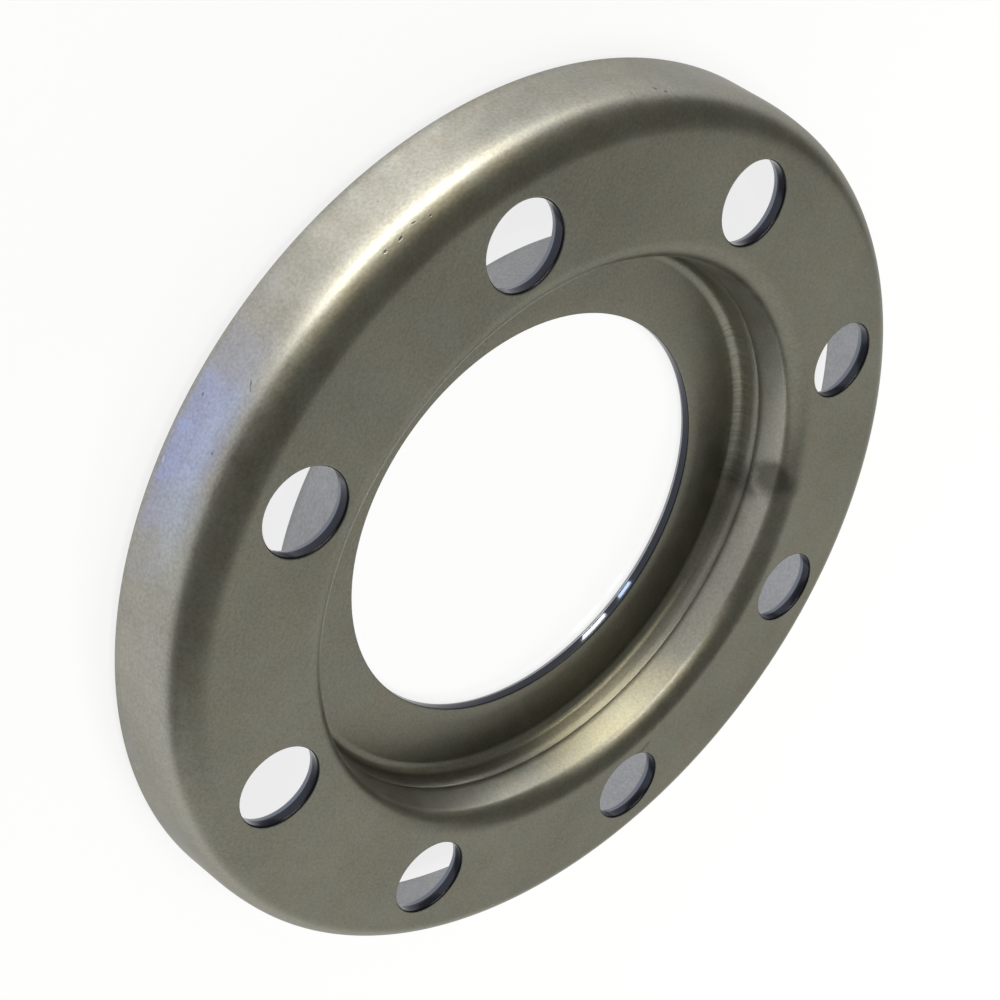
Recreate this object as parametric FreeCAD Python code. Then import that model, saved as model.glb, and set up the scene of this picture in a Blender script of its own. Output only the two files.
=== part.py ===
# Pressed loose flange for a DN 80 pipe, made from one disc of stainless sheet.
# A flat annular bolt face carries the bolt holes. Its outer edge is bent back into a short,
# slightly flared skirt. Its inner part is pressed back into a round recess that ends in a
# flat inner ring, and the ring's rear face bears on the collar of the pipe.
# The flange lies on that rear face: z = 0 is there, +Z points out of the bolt face, the Z axis
# is the axis of the bore, and +X passes through the centre of one bolt hole.
import FreeCAD, Part
import math
import os

# Driving sizes, in millimetres and degrees. The recess is measured across the top of its wall.
outside_diameter = 200.0
bolt_circle_diameter = 160.0
bolt_hole_diameter = 18.0
bolt_hole_count = 8
sheet_thickness = 3.5
bore_diameter = 95.0
recess_diameter = 130.0
recess_wall_length = 10.65
recess_wall_slant = 8.0
skirt_straight = 11.54
skirt_flare = 5.0

# Bend radii, each on the surface that faces the nuts
rim_bend_radius = 8.0
recess_bend_radius = 5.0
ring_bend_radius = 2.5

# Punched holes: the punch draws the front edge in, then comes a straight shear land, and the
# sheet breaks out a little wider towards the rear
hole_drawn_edge = 0.5
hole_land_depth = 2.3
hole_breakout = 0.3

# Edges broken after trimming, and the bore's rear edge, rounded to clear the collar's root
skirt_edge_break = 0.4
bore_edge_break = 0.4
bore_rear_edge_radius = 1.8

# Heights and radii that follow from the driving sizes
flare = math.radians(skirt_flare)
wall_slant = math.radians(recess_wall_slant)
recess_bends_height = (recess_bend_radius + ring_bend_radius) * (1 - math.sin(wall_slant))
recess_depth = recess_bends_height + recess_wall_length * math.cos(wall_slant)
skirt_height = rim_bend_radius * (1 - math.sin(flare)) + skirt_straight * math.cos(flare)
bolt_face_height = recess_depth + sheet_thickness
skirt_edge_height = bolt_face_height - skirt_height
outside_radius = outside_diameter / 2
recess_radius = recess_diameter / 2
bore_radius = bore_diameter / 2
bolt_circle_radius = bolt_circle_diameter / 2
bolt_hole_radius = bolt_hole_diameter / 2

UP = FreeCAD.Vector(0, 0, 1)
CENTRE = FreeCAD.Vector(0, 0, 0)
QUARTER_TURN = math.pi / 2
TOLERANCE = 1e-4


class SheetSection:
    """Half section of the sheet, drawn by a pen that follows its front surface.

    The rear surface runs one sheet thickness to the left of the way the pen moves.
    """

    def __init__(self, radius, height, heading):
        self.point = FreeCAD.Vector(radius, 0, height)
        self.heading = heading
        self.front = [self.point]
        self.rear = [self.rear_of(self.point, self.heading)]
        self.edges = []

    def left(self, heading):
        return FreeCAD.Vector(-math.sin(heading), 0, math.cos(heading))

    def rear_of(self, point, heading):
        return point + self.left(heading) * sheet_thickness

    def move_to(self, point, heading):
        self.point = point
        self.heading = heading
        self.front.append(point)
        self.rear.append(self.rear_of(point, heading))

    def straight(self, length):
        forward = FreeCAD.Vector(math.cos(self.heading), 0, math.sin(self.heading))
        self.move_to(self.point + forward * length, self.heading)
        self.edges.append(Part.makeLine(*self.front[-2:]))
        self.edges.append(Part.makeLine(*self.rear[-2:]))

    def bend(self, radius, turn):
        """Bend by the angle turn, positive to the left, with radius on the front surface."""
        side = math.copysign(1, turn)
        centre = self.point + self.left(self.heading) * (radius * side)
        middle_heading = self.heading + turn / 2
        end_heading = self.heading + turn
        middle = centre - self.left(middle_heading) * (radius * side)
        end = centre - self.left(end_heading) * (radius * side)
        rear_middle = self.rear_of(middle, middle_heading)
        self.move_to(end, end_heading)
        self.edges.append(Part.Arc(self.front[-2], middle, self.front[-1]).toShape())
        self.edges.append(Part.Arc(self.rear[-2], rear_middle, self.rear[-1]).toShape())

    def face(self):
        skirt_end = Part.makeLine(self.front[0], self.rear[0])
        bore_end = Part.makeLine(self.front[-1], self.rear[-1])
        outline = Part.Wire(Part.__sortEdges__(self.edges + [skirt_end, bore_end]))
        return Part.Face(outline)


def sheet_section():
    """Skirt, rim bend, bolt face, recess wall and inner ring as one line of sheet."""
    skirt_slant = skirt_straight * math.sin(flare)
    bolt_face_outer = outside_radius - skirt_slant - rim_bend_radius * math.cos(flare)
    bolt_face_inner = recess_radius + recess_bend_radius * math.cos(wall_slant)
    wall_foot_radius = recess_radius - recess_wall_length * math.sin(wall_slant)
    ring_outer = wall_foot_radius - ring_bend_radius * math.cos(wall_slant)

    section = SheetSection(outside_radius, skirt_edge_height, QUARTER_TURN + flare)
    section.straight(skirt_straight)
    section.bend(rim_bend_radius, QUARTER_TURN - flare)
    section.straight(bolt_face_outer - bolt_face_inner)
    section.bend(recess_bend_radius, QUARTER_TURN - wall_slant)
    section.straight(recess_wall_length)
    section.bend(ring_bend_radius, wall_slant - QUARTER_TURN)
    section.straight(ring_outer - bore_radius)
    print("bolt face from radius %.2f to %.2f mm" % (bolt_face_inner, bolt_face_outer))
    print("inner ring from radius %.2f to %.2f mm" % (bore_radius, ring_outer))
    return section.face()


def circle_edges(shape, radius, height):
    """Edges on the circle of this radius about the Z axis, at this height."""
    def on_circle(edge):
        return all(
            abs(math.hypot(v.X, v.Y) - radius) < TOLERANCE and abs(v.Z - height) < TOLERANCE
            for v in edge.Vertexes
        )
    return [edge for edge in shape.Edges if on_circle(edge) and edge.Length > radius]


def pressed_disc():
    """The pressed sheet before its bolt holes are punched, with its edges broken."""
    disc = sheet_section().revolve(CENTRE, UP)
    skirt_inner_radius = outside_radius - sheet_thickness * math.cos(flare)
    skirt_inner_height = skirt_edge_height - sheet_thickness * math.sin(flare)
    breaks = [
        (outside_radius, skirt_edge_height, skirt_edge_break),
        (skirt_inner_radius, skirt_inner_height, skirt_edge_break),
        (bore_radius, sheet_thickness, bore_edge_break),
    ]
    for radius, height, size in breaks:
        disc = disc.makeChamfer(size, circle_edges(disc, radius, height))
    return disc.makeFillet(bore_rear_edge_radius, circle_edges(disc, bore_radius, 0))


def bolt_hole_axes():
    step = 2 * math.pi / bolt_hole_count
    for index in range(bolt_hole_count):
        angle = index * step
        yield FreeCAD.Vector(math.cos(angle), math.sin(angle), 0) * bolt_circle_radius


def punch_section():
    """Half section of what the punch removes.

    Both sloping edges run on to twice their depth, so that they come out clear of the sheet.
    """
    land_end = bolt_face_height - hole_land_depth
    drawn_end = bolt_face_height - hole_drawn_edge
    breakout_depth = sheet_thickness - hole_land_depth
    corners = [
        (0, land_end - 2 * breakout_depth),
        (bolt_hole_radius + 2 * hole_breakout, land_end - 2 * breakout_depth),
        (bolt_hole_radius, land_end),
        (bolt_hole_radius, drawn_end),
        (bolt_hole_radius + 2 * hole_drawn_edge, drawn_end + 2 * hole_drawn_edge),
        (0, drawn_end + 2 * hole_drawn_edge),
    ]
    points = [FreeCAD.Vector(radius, 0, height) for radius, height in corners]
    return Part.Face(Part.makePolygon(points + points[:1]))


def pressed_flange():
    flange = pressed_disc()
    punched = punch_section().revolve(CENTRE, UP)
    for axis in bolt_hole_axes():
        flange = flange.cut(punched.translated(axis))
    return flange


def main():
    os.makedirs("parts", exist_ok=True)
    flange = pressed_flange()
    solid = flange.Solids[0]
    box = solid.optimalBoundingBox()
    print("solids %d, valid %s, volume %.1f cm3" % (len(flange.Solids), solid.isValid(), solid.Volume / 1000))
    print("size %.2f x %.2f x %.2f mm, lowest point %.3f" % (box.XLength, box.YLength, box.ZLength, box.ZMin))
    solid.exportStep("parts/pressed_flange.step")


main()
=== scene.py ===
# %% [markdown]
# This file dresses a pressed loose flange: one disc of stainless sheet whose rim is bent back
# into a skirt, whose middle is pressed back into a round recess, and which has eight punched
# bolt holes. The CAD model is loaded first, as a fixed frame. The visible flange is then made
# with far finer faces than the CAD mesh has, because a bare metal bend shows every facet in
# its highlights. All lengths are in metres here, so sizes in millimetres are times MM.

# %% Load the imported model
import bmesh
import bpy
import math
from mathutils import Matrix, Vector


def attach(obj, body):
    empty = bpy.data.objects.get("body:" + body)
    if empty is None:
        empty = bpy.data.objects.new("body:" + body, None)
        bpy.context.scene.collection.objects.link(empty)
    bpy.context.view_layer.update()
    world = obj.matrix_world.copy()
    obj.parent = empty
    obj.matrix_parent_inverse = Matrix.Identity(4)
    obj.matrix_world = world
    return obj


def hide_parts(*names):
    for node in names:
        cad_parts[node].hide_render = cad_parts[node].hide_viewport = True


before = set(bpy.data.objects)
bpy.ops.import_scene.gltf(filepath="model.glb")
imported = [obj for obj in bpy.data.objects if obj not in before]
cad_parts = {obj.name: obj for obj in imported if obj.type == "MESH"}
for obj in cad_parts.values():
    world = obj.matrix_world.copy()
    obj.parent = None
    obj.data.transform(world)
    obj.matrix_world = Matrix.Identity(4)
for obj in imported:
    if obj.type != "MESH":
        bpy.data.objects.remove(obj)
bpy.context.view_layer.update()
MM = 0.001

# %% [markdown]
# The sizes are those of the CAD source. The section of the sheet is the same line there: a
# straight skirt, the rim bend, the flat bolt face, the recess bend, a slightly slanted wall, the
# ring bend and the flat ring round the bore. Each radius is on the surface that one sees.

# %% Sizes of the flange
OUTSIDE_RADIUS = 100.0 * MM
BOLT_CIRCLE_RADIUS = 80.0 * MM
BOLT_HOLES = 8
SHEET = 3.5 * MM
BORE_RADIUS = 47.5 * MM
RECESS_RADIUS = 65.0 * MM
WALL_LENGTH = 10.65 * MM
WALL_SLANT = math.radians(8.0)
SKIRT_STRAIGHT = 11.54 * MM
FLARE = math.radians(5.0)
RIM_BEND = 8.0 * MM
RECESS_BEND = 5.0 * MM
RING_BEND = 2.5 * MM

QUARTER = math.pi / 2
FACE_OUTER = OUTSIDE_RADIUS - SKIRT_STRAIGHT * math.sin(FLARE) - RIM_BEND * math.cos(FLARE)
FACE_INNER = RECESS_RADIUS + RECESS_BEND * math.cos(WALL_SLANT)
RING_OUTER = RECESS_RADIUS - WALL_LENGTH * math.sin(WALL_SLANT) - RING_BEND * math.cos(WALL_SLANT)
BENDS_HEIGHT = (RECESS_BEND + RING_BEND) * (1 - math.sin(WALL_SLANT))
RECESS_DEPTH = BENDS_HEIGHT + WALL_LENGTH * math.cos(WALL_SLANT)
FACE_HEIGHT = RECESS_DEPTH + SHEET
SKIRT_HEIGHT = RIM_BEND * (1 - math.sin(FLARE)) + SKIRT_STRAIGHT * math.cos(FLARE)
print("bolt face %.2f to %.2f mm, height %.2f mm" % (FACE_INNER / MM, FACE_OUTER / MM, FACE_HEIGHT / MM))

# %% [markdown]
# The section is drawn as a Bezier curve. A pen walks along the seen surface and leaves points
# with handles behind it. A circular bend is exact enough when each piece of it turns by 45
# degrees or less and its handles are 4/3 * tan(turn / 4) * radius long. The curve is not
# rendered: the sheet is wrapped on to it later, so it only has to give a place and a direction
# for every distance along the sheet. Between the skirt and the rim bend the photo shows a slow
# curve, too slight for the CAD, so the pen takes it here with the rim's ends in their places.


# %% Draw the section of the sheet
class Pen:
    def __init__(self, radius, height, heading):
        self.place = Vector((radius, 0, height))
        self.heading = heading
        self.length = 0
        self.points = [[self.place, self.place, self.place]]

    def forward(self):
        return Vector((math.cos(self.heading), 0, math.sin(self.heading)))

    def move(self, place, heading, handle, length):
        self.points[-1][2] = self.place + self.forward() * handle
        self.heading = heading
        self.place = place
        self.points.append([place - self.forward() * handle, place, place])
        self.length += length
        return self.length

    def straight(self, length):
        return self.move(self.place + self.forward() * length, self.heading, length / 3, length)

    def bend(self, radius, turn, pieces=2):
        step = turn / pieces
        for _ in range(pieces):
            side = math.copysign(radius, step)
            left = Vector((-math.sin(self.heading), 0, math.cos(self.heading)))
            centre = self.place + left * side
            heading = self.heading + step
            place = centre - Vector((-math.sin(heading), 0, math.cos(heading))) * side
            handle = 4 / 3 * math.tan(abs(step) / 4) * radius
            self.move(place, heading, handle, radius * abs(step))
        return self.length


CROWN_BEND = 25.0 * MM
CROWN_TURN = math.radians(10.0)


def crowned_rim():
    """Lengths of the straight skirt and of the tight bend that follow a slightly curved crown."""
    end = FLARE + CROWN_TURN
    inwards = OUTSIDE_RADIUS - FACE_OUTER - CROWN_BEND * (math.cos(FLARE) - math.cos(end))
    upwards = SKIRT_HEIGHT - CROWN_BEND * (math.sin(end) - math.sin(FLARE))
    system = Matrix(((math.sin(FLARE), math.cos(end)), (math.cos(FLARE), 1 - math.sin(end))))
    return system.inverted() @ Vector((inwards, upwards))


skirt_length, tight_bend = crowned_rim()
pen = Pen(OUTSIDE_RADIUS, FACE_HEIGHT - SKIRT_HEIGHT, QUARTER + FLARE)
crown_start = pen.straight(skirt_length)
rim_start = pen.bend(CROWN_BEND, CROWN_TURN, pieces=1)
face_start = pen.bend(tight_bend, QUARTER - FLARE - CROWN_TURN)
face_end = pen.straight(FACE_OUTER - FACE_INNER)
wall_start = pen.bend(RECESS_BEND, QUARTER - WALL_SLANT)
wall_end = pen.straight(WALL_LENGTH)
ring_start = pen.bend(RING_BEND, WALL_SLANT - QUARTER)
sheet_end = pen.straight(RING_OUTER - BORE_RADIUS)


def bezier_object(name, points):
    data = bpy.data.curves.new(name, "CURVE")
    data.dimensions = "3D"
    data.resolution_u = 64
    spline = data.splines.new("BEZIER")
    spline.bezier_points.add(len(points) - 1)
    for point, (before, place, after) in zip(spline.bezier_points, points):
        point.handle_left_type = point.handle_right_type = "FREE"
        point.co, point.handle_left, point.handle_right = place, before, after
    return bpy.data.objects.new(name, data)


section = bezier_object("section_line", pen.points)
print("length along the sheet %.2f mm in %d curve pieces" % (sheet_end / MM, len(pen.points) - 1))

# %% [markdown]
# The blank is one eighth of the flat disc, before pressing, as a closed slab. A point on it has
# three numbers: how far it lies along the sheet from the skirt's edge, its angle round the axis,
# and its depth below the seen surface. Faces run in rows along the angle, close together where
# the sheet will be bent. A Boolean could cut the hole, but leaves long thin faces that shade
# badly, so the hole gets rings of its own that grow from a circle to a four-sided patch. A fine
# line that the tool left round the recess wall takes five rows of its own.


# %% Stations along the sheet and its two trimmed edges
def spread(start, end, count):
    return [start + (end - start) * i / count for i in range(count + 1)]


def quarter_round(centre_along, centre_depth, radius, start, end, count):
    """Points of a rounded edge, from angle start to angle end."""
    angles = spread(start, end, count)
    return [(centre_along + radius * math.cos(a), centre_depth + radius * math.sin(a)) for a in angles]


SKIRT_EDGE = 0.4 * MM
BORE_EDGE = 0.4 * MM
BORE_REAR_EDGE = 1.8 * MM
PATCH_BEND = 0.45
patch_end = face_end + RECESS_BEND * PATCH_BEND
patch_rows = spread(face_start, face_end, 12) + spread(face_end, patch_end, 7)[1:]


def surface_rows(finer):
    """Distances along the sheet, from the skirt's edge to the bore's, for one surface."""
    rows = spread(SKIRT_EDGE, crown_start, 4)[:-1]
    rows += spread(crown_start, rim_start, 3 * finer)[:-1]
    rows += spread(rim_start, face_start, 12 * finer)[:-1]
    rows += patch_rows
    rows += spread(patch_end, wall_start, 7 * finer)[1:]
    rows += spread(wall_start, wall_end, 6)[1:]
    rows += spread(wall_end, ring_start, 8 * finer)[1:]
    return rows


front_rows = surface_rows(2) + spread(ring_start, sheet_end - BORE_EDGE, 4)[1:]
rear_rows = surface_rows(1) + spread(ring_start, sheet_end - BORE_REAR_EDGE, 3)[1:]
bore_end = quarter_round(sheet_end - BORE_EDGE, BORE_EDGE, BORE_EDGE, -QUARTER, 0, 4)[1:]
bore_end += quarter_round(sheet_end - BORE_REAR_EDGE, SHEET - BORE_REAR_EDGE, BORE_REAR_EDGE,
                          0, QUARTER, 8)[:-1]
TOOL_MARK = wall_start + 6.9 * MM
TOOL_MARK_REACH = 0.45 * MM
TOOL_MARK_STEPS = [(-0.3 * MM, 0), (-0.12 * MM, 0.05 * MM), (0, 0.08 * MM),
                   (0.12 * MM, 0.05 * MM), (0.3 * MM, 0)]
front_rows = [a for a in front_rows if abs(a - TOOL_MARK) > TOOL_MARK_REACH]
skirt_end = quarter_round(SKIRT_EDGE, SHEET - SKIRT_EDGE, SKIRT_EDGE, QUARTER, 2 * QUARTER, 3)[1:]
skirt_end += quarter_round(SKIRT_EDGE, SKIRT_EDGE, SKIRT_EDGE, 2 * QUARTER, 3 * QUARTER, 3)[:-1]
front = [(a, 0) for a in front_rows] + [(TOOL_MARK + step, depth) for step, depth in TOOL_MARK_STEPS]
# The bore's rounded front edge and its land are cut metal; these are their rows in the outline.
trimmed_rows = range(len(front) + 1, len(front) + 5)
outline = sorted(front) + bore_end + [(a, SHEET) for a in reversed(rear_rows)] + skirt_end
print("rows round the section:", len(outline))

# %% [markdown]
# A hole is upright in the finished flange, but the sheet under its inner edge already starts to
# bend. So its rings are laid out as seen from above, and each point is then asked how far along
# the sheet it must lie. In the bend the seen surface has the bend's radius, and the layers below
# have a smaller one.

# %% From a radius in plan to a distance along the sheet, and back
def along_at(radius, depth):
    if radius >= FACE_INNER:
        return face_start + FACE_OUTER - radius
    return face_end + RECESS_BEND * math.asin((FACE_INNER - radius) / (RECESS_BEND - depth))


def radius_at(along, depth):
    if along <= face_end:
        return FACE_OUTER - (along - face_start)
    return FACE_INNER - (RECESS_BEND - depth) * math.sin((along - face_end) / RECESS_BEND)


# %% [markdown]
# A punch draws the edge of the hole in before it cuts, so the front edge is rolled over. Then
# comes a smooth straight land, and near the rear the steel breaks away in a slight cone.

# %% One eighth of the blank
HOLE_RADIUS = 9.0 * MM
HOLE_ROLL = 0.5 * MM
HOLE_LAND = 2.25 * MM
BREAKOUT = [(0.03 * MM, 2.4 * MM), (0.26 * MM, 3.3 * MM), (0.32 * MM, 3.43 * MM), (0.42 * MM, SHEET)]
hole_profile = [(HOLE_RADIUS + HOLE_ROLL - HOLE_ROLL * math.cos(a), HOLE_ROLL - HOLE_ROLL * math.sin(a))
                for a in spread(QUARTER, 0, 6)]
hole_profile += [(HOLE_RADIUS, depth) for depth in (1.0 * MM, 1.6 * MM, HOLE_LAND)]
hole_profile += [(HOLE_RADIUS + wider, depth) for wider, depth in BREAKOUT]
ring_steps = [0.8, 0.62, 0.46, 0.32, 0.2, 0.11, 0.05, 0.015]

SECTOR = 2 * math.pi / BOLT_HOLES
PATCH_ANGLE = math.radians(10)
angles = spread(-SECTOR / 2, -PATCH_ANGLE, 12)
patch_first = len(angles) - 1
angles += spread(-PATCH_ANGLE, PATCH_ANGLE, 20)[1:]
patch_last = len(angles) - 1
angles += spread(PATCH_ANGLE, SECTOR / 2, 12)[1:]


def plan(along, angle, depth):
    radius = radius_at(along, depth)
    return Vector((radius * math.cos(angle), radius * math.sin(angle)))


def lay_back(place, depth):
    """The blank's three numbers for a place seen from above."""
    return (along_at(place.length, depth), math.atan2(place.y, place.x), depth)


class Blank:
    def __init__(self):
        self.points = [(along, angle, depth) for angle in angles for along, depth in outline]
        self.faces = []
        self.kinds = []

    def at(self, column, row):
        return column * len(outline) + row % len(outline)

    def quad_strip(self, one, two, kind="blasted"):
        count = len(one)
        for i in range(count):
            j = (i + 1) % count
            self.faces.append((one[i], one[j], two[j], two[i]))
            self.kinds.append(kind)

    def sheet_faces(self, front, rear):
        """All faces but those of the two patches."""
        for column in range(len(angles) - 1):
            beside = not patch_first <= column < patch_last
            for row in range(len(outline)):
                if beside or not (row in front or row in rear):
                    near = (self.at(column, row), self.at(column, row + 1))
                    far = (self.at(column + 1, row + 1), self.at(column + 1, row))
                    self.faces.append(near + far)
                    self.kinds.append("sheared" if row in trimmed_rows else "blasted")

    def patch_edge(self, first_row, last_row):
        """Points round a patch, from its outer arc and on with rising angle."""
        columns = range(patch_first, patch_last)
        edge = [self.at(c, first_row) for c in columns]
        step = 1 if last_row > first_row else -1
        edge += [self.at(patch_last, r) for r in range(first_row, last_row, step)]
        edge += [self.at(c + 1, last_row) for c in reversed(columns)]
        edge += [self.at(patch_first, r) for r in range(last_row, first_row, -step)]
        return edge

    def ring(self, places, depth):
        first = len(self.points)
        self.points += [lay_back(place, depth) for place in places]
        return list(range(first, first + len(places)))

    def patch(self, edge, rim_radius, depth):
        """Rings from the patch's edge to the hole's rim; gives the rim's points and directions."""
        hub = Vector((BOLT_CIRCLE_RADIUS, 0))
        outer = [plan(*self.points[i]) for i in edge]
        out = [(place - hub).normalized() for place in outer]
        last = edge
        for step in ring_steps + [0]:
            places = []
            for place, way in zip(outer, out):
                rim = hub + way * rim_radius
                places.append(rim + (place - rim) * step)
            ring = self.ring(places, depth)
            self.quad_strip(last, ring)
            last = ring
        return last, out


blank = Blank()
front_patch = range(front_rows.index(patch_rows[0]), front_rows.index(patch_rows[-1]))
rear_first = outline.index((patch_rows[-1], SHEET))
rear_patch = range(rear_first, outline.index((patch_rows[0], SHEET)))
blank.sheet_faces(front_patch, rear_patch)
front_edge = blank.patch_edge(front_patch.start, front_patch.stop)
rear_edge = blank.patch_edge(rear_patch.stop, rear_patch.start)
wall_top, ways = blank.patch(front_edge, hole_profile[0][0], 0)
wall_foot, _ = blank.patch(rear_edge, hole_profile[-1][0], SHEET)
hub = Vector((BOLT_CIRCLE_RADIUS, 0))
above = wall_top
for radius, depth in hole_profile[1:-1]:
    below = blank.ring([hub + way * radius for way in ways], depth)
    kind = "broken" if depth > HOLE_LAND else "sheared" if depth > HOLE_ROLL / 4 else "blasted"
    blank.quad_strip(above, below, kind)
    above = below
blank.quad_strip(above, wall_foot, "broken")


def mesh_object(name, points, faces):
    mesh = bpy.data.meshes.new(name)
    mesh.from_pydata(points, [], faces)
    return bpy.data.objects.new(name, mesh)


eighth = mesh_object("pressed_sheet", blank.points, blank.faces)
for kind in ("sheared", "broken"):
    marked = eighth.data.attributes.new(kind, "BOOLEAN", "FACE")
    marked.data.foreach_set("value", [k == kind for k in blank.kinds])
along_mm = eighth.data.attributes.new("along_mm", "FLOAT", "POINT")
along_mm.data.foreach_set("value", [p[0] / MM for p in blank.points])
depth_mm = eighth.data.attributes.new("depth_mm", "FLOAT", "POINT")
depth_mm.data.foreach_set("value", [p[2] / MM for p in blank.points])
bpy.context.scene.collection.objects.link(eighth)
print("one eighth: %d points, %d faces" % (len(blank.points), len(blank.faces)))


# %% [markdown]
# A material is a small tree of nodes. These helpers add a node, set its inputs by name and join
# sockets, so that the materials below read as a list of steps.

# %% Helpers for node trees
def add(tree, kind, settings=None, **inputs):
    node = tree.nodes.new(kind)
    for key, value in (settings or {}).items():
        setattr(node, key, value)
    for key, value in inputs.items():
        numbered = key[0] == "i" and key[1:].isdigit()
        socket = node.inputs[int(key[1:]) if numbered else key]
        if isinstance(value, bpy.types.NodeSocket):
            tree.links.new(value, socket)
        else:
            socket.default_value = value
    return node


def math_node(tree, operation, *values):
    inputs = {"i%d" % i: value for i, value in enumerate(values)}
    return add(tree, "ShaderNodeMath", {"operation": operation}, **inputs).outputs[0]


def noise(tree, where, size, detail=2.0, stretch=(1, 1, 1)):
    """Noise with a mean of zero; size is that of its features, in the unit of the place."""
    scale = tuple(s / size for s in stretch)
    scaled = add(tree, "ShaderNodeMapping", Vector=where, Scale=scale).outputs[0]
    texture = add(tree, "ShaderNodeTexNoise", Vector=scaled, Scale=1.0, Detail=detail)
    return math_node(tree, "SUBTRACT", texture.outputs["Fac"], 0.5)


def band(tree, value, start, full, end_full, end):
    """One from full to end_full, fading to zero at start and end."""
    rise = add(tree, "ShaderNodeMapRange", {"interpolation_type": "SMOOTHSTEP"},
               i0=value, i1=start, i2=full)
    fall = add(tree, "ShaderNodeMapRange", {"interpolation_type": "SMOOTHSTEP"},
               i0=value, i1=end_full, i2=end, i3=1.0, i4=0.0)
    return math_node(tree, "MULTIPLY", rise.outputs[0], fall.outputs[0])


# %% [markdown]
# Marks sit on the sheet, so they are placed by the blank's own numbers: the angle round the
# axis and the distance along the sheet, both of which the mesh carries or gives. One mark is a
# soft ellipse, and a little noise added to the place first gives the pits and dark patches ragged edges.

# %% Place on the sheet, and marks there
MM_PER_DEGREE = 1.4


def sheet_place(tree):
    """Angle as millimetres at the bolt circle, and millimetres along the sheet."""
    object_place = add(tree, "ShaderNodeTexCoord").outputs["Object"]
    xyz = add(tree, "ShaderNodeSeparateXYZ", Vector=object_place).outputs
    angle = math_node(tree, "DEGREES", math_node(tree, "ARCTAN2", xyz["Y"], xyz["X"]))
    along = add(tree, "ShaderNodeAttribute", {"attribute_name": "along_mm"}).outputs["Fac"]
    arc = math_node(tree, "MULTIPLY", angle, MM_PER_DEGREE)
    return add(tree, "ShaderNodeCombineXYZ", X=arc, Y=along).outputs[0], angle, along


def marks(tree, place, rows):
    """Rows of angle, along, half length, half width, turn, softness and strength."""
    total = 0.0
    for angle, along, long, wide, turn, soft, strength in rows:
        ellipse = add(tree, "ShaderNodeMapping", {"vector_type": "TEXTURE"}, Vector=place,
                      Location=(angle * MM_PER_DEGREE, along, 0), Rotation=(0, 0, math.radians(turn)),
                      Scale=(long, wide, 1)).outputs[0]
        ball = add(tree, "ShaderNodeTexGradient", {"gradient_type": "SPHERICAL"},
                   Vector=ellipse).outputs["Fac"]
        spot = add(tree, "ShaderNodeMapRange", {"interpolation_type": "SMOOTHSTEP"},
                   i0=ball, i1=0.0, i2=soft, i3=0.0, i4=strength).outputs[0]
        total = math_node(tree, "MAXIMUM", spot, total)
    return total


def new_material(name, roughness):
    material = bpy.data.materials.new(name)
    material.use_nodes = True
    shader = material.node_tree.nodes["Principled BSDF"]
    shader.inputs["Metallic"].default_value = 1
    shader.inputs["Roughness"].default_value = roughness
    return material, material.node_tree, shader


# %% [markdown]
# The sheet was pickled and blasted after pressing, which leaves a matt grain and soft clouds.
# It has handling marks: small pits along the rim, a few specks on the skirt, an oily stain by
# the recess, darker patches over the foot of the recess wall and the ring bend, a smear and fine
# scratches. The die left short radial lines where the steel was drawn over the ring bend; the
# band where they lie is also lighter in base colour, a painted highlight on the ring bend. The
# rear, seen only through the holes, has a cooler base colour, a painted reflection of bluish
# light there. Each row of marks is what marks() above reads; pits and dark patches get ragged
# edges, scratches stay clean.

# %% Blasted steel
PITS = [(54.7, 16.8, 0.35, 0.2, 20, 0.6, 0.6), (56.6, 16.0, 0.5, 0.24, -20, 0.6, 0.65),
        (58.7, 16.4, 0.6, 0.26, 10, 0.6, 0.65), (60.7, 16.2, 0.4, 0.28, 30, 0.6, 0.6),
        (57.0, 7.6, 0.35, 0.25, 0, 0.6, 0.35), (21.8, 13.7, 0.7, 0.24, -30, 0.6, 0.6),
        (20.7, 14.7, 0.5, 0.28, 0, 0.6, 0.5), (82.7, 3.5, 0.5, 0.3, 30, 0.6, 0.45),
        (79.4, 11.8, 1.3, 0.25, 35, 0.5, 0.5), (87.0, 11.6, 0.3, 0.3, 0, 0.6, 0.35)]
# Soft dark patches: an oily stain by the recess, darker patches over the foot of the recess wall and the
# ring bend, and a smear.
DARK_PATCHES = [(-67.8, 52.0, 8.5, 8.0, 0, 0.7, 0.55), (-71.5, 60.5, 8.5, 7.0, 0, 0.8, 0.5),
          (-130.8, 42.0, 5.0, 1.2, 20, 0.6, 0.3), (-78.0, 62.0, 16.0, 9.0, 0, 0.9, 0.22)]
SCRATCHES = [(90.5, 1.6, 0.7, 0.25, 20, 0.5, 0.9), (119.2, 30.6, 2.4, 0.12, 60, 0.6, 0.35),
             (121.0, 31.5, 1.8, 0.1, 50, 0.6, 0.25), (20.0, 33.0, 2.6, 0.1, 25, 0.6, 0.2)]
WARM_STEEL = (0.372, 0.352, 0.298, 1)
GREY_STEEL = (0.35, 0.352, 0.322, 1)
REAR_STEEL_PAINTED_COOL = (0.355, 0.36, 0.375, 1)
MATT = 0.36
blasted_steel, tree, shader = new_material("blasted_steel", MATT)
shader.inputs["Specular Tint"].default_value = (0.6, 0.6, 0.58, 1)
object_place = add(tree, "ShaderNodeTexCoord").outputs["Object"]
place, angle, along = sheet_place(tree)
depth = add(tree, "ShaderNodeAttribute", {"attribute_name": "depth_mm"}).outputs["Fac"]
front_side = add(tree, "ShaderNodeMapRange", i0=depth, i1=1.5, i2=1.0).outputs[0]


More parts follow.
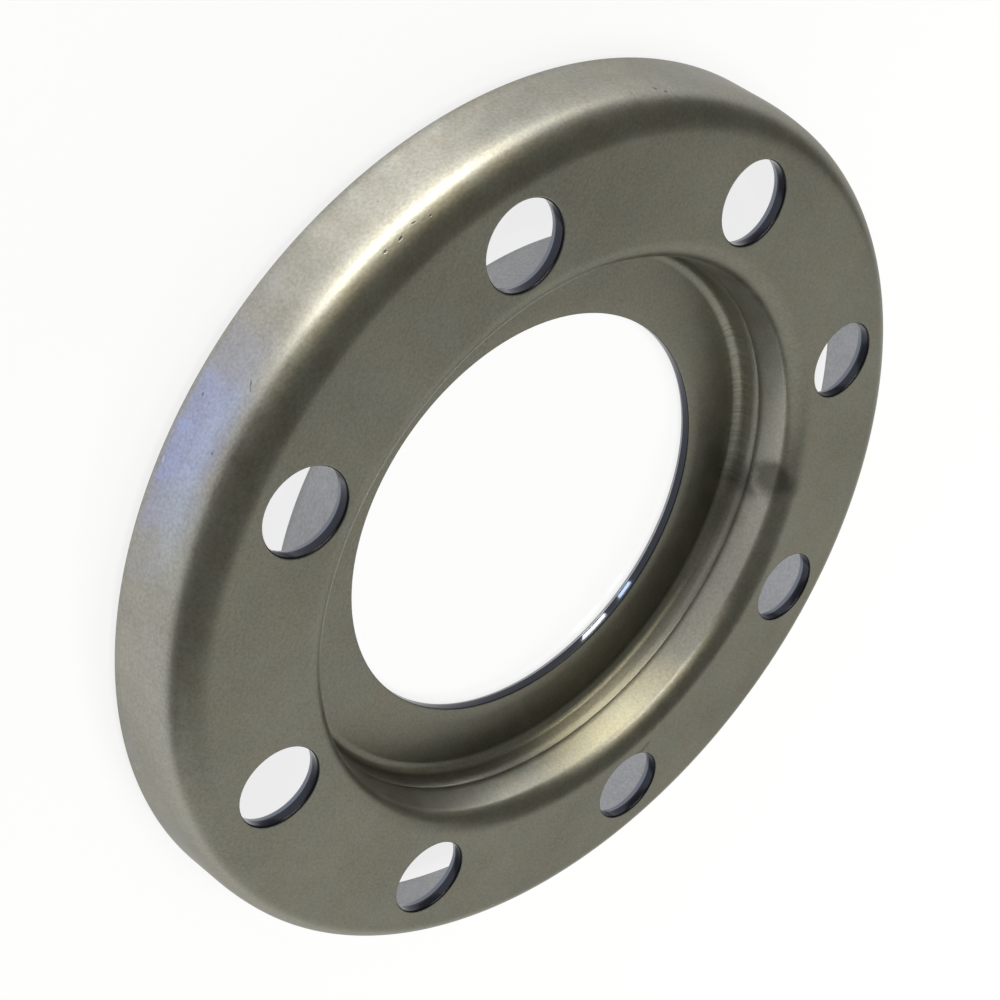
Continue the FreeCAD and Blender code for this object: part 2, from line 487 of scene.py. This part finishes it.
def ragged(tree, per_metre, detail, most):
    """The place on the sheet, moved at random by up to most, in mm, either way."""
    texture = add(tree, "ShaderNodeTexNoise", Vector=object_place, Scale=per_metre, Detail=detail)
    moved = add(tree, "ShaderNodeVectorMath", {"operation": "MULTIPLY_ADD"},
                i0=texture.outputs["Color"], i1=(2 * most, 2 * most, 0), i2=place).outputs[0]
    return add(tree, "ShaderNodeVectorMath", {"operation": "SUBTRACT"},
               i0=moved, i1=(most, most, 0)).outputs[0]


pits = math_node(tree, "MULTIPLY", marks(tree, ragged(tree, 900.0, 2.0, 0.45), PITS), front_side)
dark_patches = math_node(tree, "MULTIPLY", marks(tree, ragged(tree, 220.0, 3.0, 3.5), DARK_PATCHES), front_side)
scratches = math_node(tree, "MULTIPLY", marks(tree, place, SCRATCHES), front_side)

clouds = noise(tree, object_place, 24 * MM)
mottling = noise(tree, object_place, 4.5 * MM, 3.0)
grain = noise(tree, object_place, 0.6 * MM, 1.0)
drawn = noise(tree, place, 0.9, 1.0, stretch=(1, 0.04, 1))
drawn_lines_and_highlight = math_node(tree, "MULTIPLY", band(tree, along, 59.5, 62.0, 65.5, 67.5),
                       band(tree, angle, -84.0, -66.0, -34.0, -12.0))
drawn_lines_and_highlight = math_node(tree, "MULTIPLY", drawn_lines_and_highlight, front_side)
drawn = math_node(tree, "MULTIPLY", drawn, drawn_lines_and_highlight)

shade = math_node(tree, "MULTIPLY_ADD", clouds, 0.32, 1.0)
shade = math_node(tree, "MULTIPLY_ADD", mottling, 0.28, shade)
shade = math_node(tree, "MULTIPLY_ADD", grain, 0.5, shade)
shade = math_node(tree, "MULTIPLY_ADD", drawn, 0.9, shade)
# The band of drawn lines is also made lighter here: a painted highlight on the ring bend.
shade = math_node(tree, "MULTIPLY_ADD", drawn_lines_and_highlight, 0.22, shade)
shade = math_node(tree, "MULTIPLY_ADD", scratches, 0.5, shade)
shade = math_node(tree, "MULTIPLY", shade, math_node(tree, "SUBTRACT", 1.0, dark_patches))
shade = math_node(tree, "MULTIPLY", shade, math_node(tree, "SUBTRACT", 1.0, pits))
tint = math_node(tree, "MULTIPLY_ADD", noise(tree, object_place, 9 * MM, 3.0), 2.2, 0.5)
colour = add(tree, "ShaderNodeMix", {"data_type": "RGBA", "clamp_factor": True}, i0=tint,
             i6=WARM_STEEL, i7=GREY_STEEL).outputs[2]
# The rear gets a cooler, bluish base colour: a painted reflection of the bluish light it mirrors.
colour = add(tree, "ShaderNodeMix", {"data_type": "RGBA", "clamp_factor": True}, i0=front_side,
             i6=REAR_STEEL_PAINTED_COOL, i7=colour).outputs[2]
shaded = add(tree, "ShaderNodeVectorMath", {"operation": "SCALE"}, Vector=colour, Scale=shade).outputs[0]
tree.links.new(shaded, shader.inputs["Base Color"])
matt = math_node(tree, "MULTIPLY_ADD", mottling, 0.12, MATT)
matt = math_node(tree, "MULTIPLY_ADD", dark_patches, 0.1, matt)
tree.links.new(matt, shader.inputs["Roughness"])
relief = math_node(tree, "MULTIPLY_ADD", drawn, 2.0, math_node(tree, "MULTIPLY", grain, 0.35))
relief = math_node(tree, "MULTIPLY_ADD", pits, -1.5, relief)
bump = add(tree, "ShaderNodeBump", Height=relief, Strength=1.0, Distance=0.05 * MM)
tree.links.new(bump.outputs[0], shader.inputs["Normal"])
print("blasted steel: %d nodes" % len(tree.nodes))

# %% [markdown]
# The punch burnishes the wall of a hole to a shine, with fine upright lines. Its base colour is
# near black and bluish, painted shade for the dark surroundings that the wall mirrors. The lines
# come from noise that is stretched along the axis.

# %% Sheared steel
sheared_steel, tree, shader = new_material("sheared_steel", 0.2)
object_place = add(tree, "ShaderNodeTexCoord").outputs["Object"]
# Near-black bluish base colour: painted shade of the dark surroundings mirrored in the wall.
shader.inputs["Base Color"].default_value = (0.045, 0.048, 0.06, 1)
lines = noise(tree, object_place, 0.3 * MM, 2.0, stretch=(1, 1, 0.05))
bump = add(tree, "ShaderNodeBump", Height=lines, Strength=1.0, Distance=0.01 * MM)
tree.links.new(bump.outputs[0], shader.inputs["Normal"])

# %% [markdown]
# Below the land the steel has torn. That face is paler than the land, with a coarse grain.

# %% Broken steel
broken_steel, tree, shader = new_material("broken_steel", 0.3)
object_place = add(tree, "ShaderNodeTexCoord").outputs["Object"]
shader.inputs["Base Color"].default_value = (0.17, 0.19, 0.23, 1)
tear = noise(tree, object_place, 0.35 * MM, 2.0)
bump = add(tree, "ShaderNodeBump", Height=tear, Strength=1.0, Distance=0.03 * MM)
tree.links.new(bump.outputs[0], shader.inputs["Normal"])

# %% [markdown]
# Geometry Nodes press the sheet. For each point of the flat blank the tree looks up its place
# and direction on the section line, steps back by its depth, and turns it round the axis by its
# angle. Then it sets eight copies round the axis, makes them real, welds their seams and gives
# the three metals. The same could be done in plain Python, but with the tree the section, the
# count and the metals stay inputs that can be changed and seen at once.


# %% A tree that presses the blank
def press_tree():
    tree = bpy.data.node_groups.new("Press the sheet", "GeometryNodeTree")
    for name, kind in (("Blank", "Geometry"), ("Section", "Object"), ("Copies", "Int"),
                       ("Weld distance", "Float"), ("Blasted metal", "Material"),
                       ("Sheared metal", "Material"), ("Broken metal", "Material")):
        tree.interface.new_socket(name, in_out="INPUT", socket_type="NodeSocket" + kind)
    tree.interface.new_socket("Flange", in_out="OUTPUT", socket_type="NodeSocketGeometry")
    given = tree.nodes.new("NodeGroupInput").outputs
    place = add(tree, "GeometryNodeInputPosition").outputs[0]
    numbers = add(tree, "ShaderNodeSeparateXYZ", Vector=place).outputs
    line = add(tree, "GeometryNodeObjectInfo", Object=given["Section"]).outputs["Geometry"]
    look = add(tree, "GeometryNodeSampleCurve", {"mode": "LENGTH"}, Curves=line, Length=numbers["X"])
    way = add(tree, "ShaderNodeSeparateXYZ", Vector=look.outputs["Tangent"]).outputs
    minus_z = add(tree, "ShaderNodeMath", {"operation": "MULTIPLY"}, i0=way["Z"], i1=-1.0).outputs[0]
    left = add(tree, "ShaderNodeCombineXYZ", X=minus_z, Z=way["X"]).outputs[0]
    back = add(tree, "ShaderNodeVectorMath", {"operation": "SCALE"},
               Vector=left, Scale=numbers["Z"]).outputs[0]
    pressed = add(tree, "ShaderNodeVectorMath", {"operation": "ADD"},
                  i0=look.outputs["Position"], i1=back)
    turned = add(tree, "ShaderNodeVectorRotate", {"rotation_type": "Z_AXIS"},
                 Vector=pressed.outputs[0], Angle=numbers["Y"]).outputs[0]
    eighth_pressed = add(tree, "GeometryNodeSetPosition", Geometry=given["Blank"], Position=turned)

    spots = add(tree, "GeometryNodeMeshLine", Count=given["Copies"], Offset=(0, 0, 0)).outputs[0]
    index = add(tree, "GeometryNodeInputIndex").outputs[0]
    part = add(tree, "ShaderNodeMath", {"operation": "DIVIDE"}, i0=index, i1=given["Copies"]).outputs[0]
    angle = add(tree, "ShaderNodeMath", {"operation": "MULTIPLY"}, i0=part, i1=2 * math.pi).outputs[0]
    turn = add(tree, "ShaderNodeCombineXYZ", Z=angle).outputs[0]
    copies = add(tree, "GeometryNodeInstanceOnPoints", Points=spots,
                 Instance=eighth_pressed.outputs[0], Rotation=turn).outputs[0]
    real = add(tree, "GeometryNodeRealizeInstances", Geometry=copies).outputs[0]
    welded = add(tree, "GeometryNodeMergeByDistance",
                 Geometry=real, Distance=given["Weld distance"]).outputs[0]
    smooth = add(tree, "GeometryNodeSetShadeSmooth", Geometry=welded).outputs[0]
    metal = add(tree, "GeometryNodeSetMaterial", Geometry=smooth, Material=given["Blasted metal"]).outputs[0]
    for kind, socket in (("sheared", "Sheared metal"), ("broken", "Broken metal")):
        marked = add(tree, "GeometryNodeInputNamedAttribute", {"data_type": "BOOLEAN"}, Name=kind).outputs[0]
        metal = add(tree, "GeometryNodeSetMaterial", Geometry=metal, Selection=marked,
                    Material=given[socket]).outputs[0]
    add(tree, "NodeGroupOutput", Flange=metal)
    return tree


# %% [markdown]
# A modifier's inputs are set by the identifier of each socket. The evaluated object is then
# turned into a plain mesh, because what follows wants a mesh and no modifier.

# %% Press, copy and weld
def set_inputs(modifier, values):
    for item in modifier.node_group.interface.items_tree:
        if item.item_type == "SOCKET" and item.in_out == "INPUT" and item.name in values:
            modifier[item.identifier] = values[item.name]


def plain_mesh(piece):
    bpy.context.view_layer.update()
    evaluated = piece.evaluated_get(bpy.context.evaluated_depsgraph_get())
    mesh = bpy.data.meshes.new_from_object(evaluated)
    piece.modifiers.clear()
    piece.data = mesh
    return piece


def face_outwards(mesh):
    work = bmesh.new()
    work.from_mesh(mesh)
    bmesh.ops.recalc_face_normals(work, faces=work.faces)
    if work.calc_volume(signed=True) < 0:
        bmesh.ops.reverse_faces(work, faces=work.faces)
    volume = work.calc_volume(signed=True)
    open_edges = sum(not edge.is_manifold for edge in work.edges)
    work.to_mesh(mesh)
    work.free()
    return volume, open_edges


press = eighth.modifiers.new("press", "NODES")
press.node_group = press_tree()
set_inputs(press, {"Section": section, "Copies": BOLT_HOLES, "Weld distance": 0.004 * MM,
                   "Blasted metal": blasted_steel, "Sheared metal": sheared_steel,
                   "Broken metal": broken_steel})
flange = plain_mesh(eighth)
flange.data.name = "pressed_sheet"
volume, open_edges = face_outwards(flange.data)
triangles = sum(len(face.vertices) - 2 for face in flange.data.polygons)
print("flange: %d triangles, %.2f cm3, open edges %d" % (triangles, volume * 1e6, open_edges))
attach(flange, "root")
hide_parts("pressed_flange")

# %% [markdown]
# The flange lies on a satin white table. Bare metal mirrors the table too, so its white must be
# there for the camera and for reflections alike. A glow for just those kinds of ray gives most
# of the white without any more light on the steel, and the rest comes from the lamps, so that
# the flange still throws its soft shadow.

# %% Table
TABLE_HALF = 40.0
TABLE_GLOW = 0.8
corners = [(-TABLE_HALF, -TABLE_HALF, 0), (TABLE_HALF, -TABLE_HALF, 0),
           (TABLE_HALF, TABLE_HALF, 0), (-TABLE_HALF, TABLE_HALF, 0)]
table = mesh_object("table_top", corners, [(0, 1, 2, 3)])
bpy.context.scene.collection.objects.link(table)
table_paint = bpy.data.materials.new("satin_white_paint")
table_paint.use_nodes = True
paint_tree = table_paint.node_tree
paint = paint_tree.nodes["Principled BSDF"]
paint.inputs["Base Color"].default_value = (0.18, 0.18, 0.18, 1)
paint.inputs["Roughness"].default_value = 0.2
ray = add(paint_tree, "ShaderNodeLightPath").outputs
shown = math_node(paint_tree, "ADD", ray["Is Camera Ray"], ray["Is Glossy Ray"])
shown = math_node(paint_tree, "ADD", shown, ray["Is Transmission Ray"])
glow = math_node(paint_tree, "MULTIPLY", math_node(paint_tree, "MINIMUM", shown, 1.0), TABLE_GLOW)
paint.inputs["Emission Color"].default_value = (1, 1, 1, 1)
paint_tree.links.new(glow, paint.inputs["Emission Strength"])
table.data.materials.append(table_paint)

# %% [markdown]
# Bare metal shows the room more than it shows itself, so each lamp is placed for what it draws
# on the flange. A long warm panel close above the table draws the bright band along the rim, and
# a dimmer one over it softens the band's upper edge. A wide dim panel opposite the camera gives
# the flat bolt face its grey. The soft lamp overhead lights the table only, so it is hidden from
# reflections. Small flat lamps lie on the table round the skirt, as a photographer lays down
# cards: a warm swell where the rim is brightest, a cool one beside it, a dim one in the bore for
# the recess wall, and two tiny ones for the glints on the bore's edge.


# %% Lamps
def direction(azimuth, elevation):
    a, e = math.radians(azimuth), math.radians(elevation)
    return Vector((math.cos(e) * math.cos(a), math.cos(e) * math.sin(a), math.sin(e)))


def panel(name, azimuth, elevation, distance, width, height, radiance, colour, in_metal=True):
    """A lamp that faces the flange; its power follows from its radiance and its size."""
    lamp = bpy.data.lights.new(name, "AREA")
    lamp.shape = "RECTANGLE"
    lamp.size, lamp.size_y = width, height
    lamp.energy = radiance * width * height * math.pi
    lamp.color = colour
    holder = bpy.data.objects.new(name, lamp)
    bpy.context.scene.collection.objects.link(holder)
    holder.location = direction(azimuth, elevation) * distance
    holder.rotation_euler = holder.location.to_track_quat("Z", "Y").to_euler()
    holder.visible_glossy = in_metal
    holder.visible_camera = False
    return holder


CARD_HEIGHT = 0.4 * MM


def hump(azimuth, centre, width):
    """One at the centre, falling smoothly to nothing on both sides."""
    return math.exp(-((azimuth - centre) / width) ** 2)


def lying(name, azimuth, inner, width, length, radiance, colour):
    """A flat lamp on the table that faces up, seen only in the metal."""
    lamp = panel(name, azimuth, 0, inner + width / 2, width, length, radiance, colour)
    lamp.location.z = CARD_HEIGHT
    lamp.rotation_euler = (math.pi, 0, math.radians(azimuth))
    return lamp


panel("key_panel", 43, 5, 0.9, 0.745, 0.157, 6.6, (1.0, 0.98, 0.9))
panel("key_wings", 43, 5, 0.9, 1.38, 0.157, 1.6, (1.0, 0.94, 0.9))
panel("key_upper_panel", 45, 23, 0.9, 1.0, 0.48, 0.52, (1.0, 0.91, 0.6))
panel("fill_panel", -135, 28, 0.9, 3.0, 1.0, 0.4, (1.0, 1.0, 0.92))
panel("table_lamp", 0, 89.9, 1.5, 1.2, 1.2, 3.9, (1.0, 1.0, 1.0), in_metal=False)
lying("far_warm_card", 44, 0.135, 0.2, 0.2, 1.7, (1.0, 0.96, 0.84))
for azimuth in range(30, 108, 6):
    warm = hump(azimuth, 52, 11)
    cool = hump(azimuth, 88, 10)
    light = (0.66 * warm, 0.64 * warm + 0.1 * cool, 0.62 * warm + 0.8 * cool)
    lying("table_card_%d" % azimuth, azimuth, 0.102, 0.03, 0.0122, 1.0, light)
lying("cool_streak", 93, 0.111, 0.005, 0.045, 0.9, (0.4, 0.68, 1.0)).location.z = 0.6 * MM
bore_card = lying("bore_card", -116, 0.028, 0.018, 0.026, 0.45, (1.0, 0.92, 0.58))
bore_card.rotation_euler = direction(26, -24).to_track_quat("Z", "Y").to_euler()
bore_card.data.spread = math.radians(70)
lying("pale_glint", -120, 0.0435, 0.0025, 0.007, 30.0, (1.0, 0.98, 0.84))
lying("blue_glint", -107, 0.0435, 0.0025, 0.004, 20.0, (0.7, 0.85, 1.0))

# %% [markdown]
# The room beyond the lamps is dim grey overhead, and pale at the horizon so that it meets the
# far table without a line when one looks at the flange from low down.

# %% Room
HORIZON = (0.68, 0.68, 0.67, 1)
OVERHEAD = (0.148, 0.148, 0.128, 1)
HAZE_TOP = 0.07
world = bpy.data.worlds.new("room")
bpy.context.scene.world = world
world.use_nodes = True
room_tree = world.node_tree
way_out = add(room_tree, "ShaderNodeTexCoord").outputs["Generated"]
rise = add(room_tree, "ShaderNodeSeparateXYZ", Vector=way_out).outputs["Z"]
share = add(room_tree, "ShaderNodeMapRange", {"interpolation_type": "SMOOTHSTEP"}, Value=rise)
share.inputs["From Max"].default_value = HAZE_TOP
wall = add(room_tree, "ShaderNodeMix", {"data_type": "RGBA"},
           i0=share.outputs[0], i6=HORIZON, i7=OVERHEAD)
room_tree.links.new(wall.outputs[2], room_tree.nodes["Background"].inputs["Color"])

# %% [markdown]
# The camera was fitted to the photo by its eight holes and its outline. It is aimed at a point
# on the bolt face near the middle of the picture, and then rolled about its own line of sight.

# %% Camera
CAMERA_ROLL = math.radians(124.93)
camera_data = bpy.data.cameras.new("camera")
camera_data.sensor_width = 36
camera_data.lens = 63.43
camera_data.clip_start = 0.01
camera = bpy.data.objects.new("camera", camera_data)
bpy.context.scene.collection.objects.link(camera)
camera.location = (0.08159, 0.29105, 0.23184)
aim = Vector((0.00881, 0.03316, FACE_HEIGHT))
look = (aim - camera.location).to_track_quat("-Z", "Y").to_matrix()
camera.rotation_euler = (look @ Matrix.Rotation(CAMERA_ROLL, 3, "Z")).to_euler()
bpy.context.scene.camera = camera
bpy.context.scene.view_settings.view_transform = "Standard"

# %% Update the scene
bpy.context.view_layer.update()
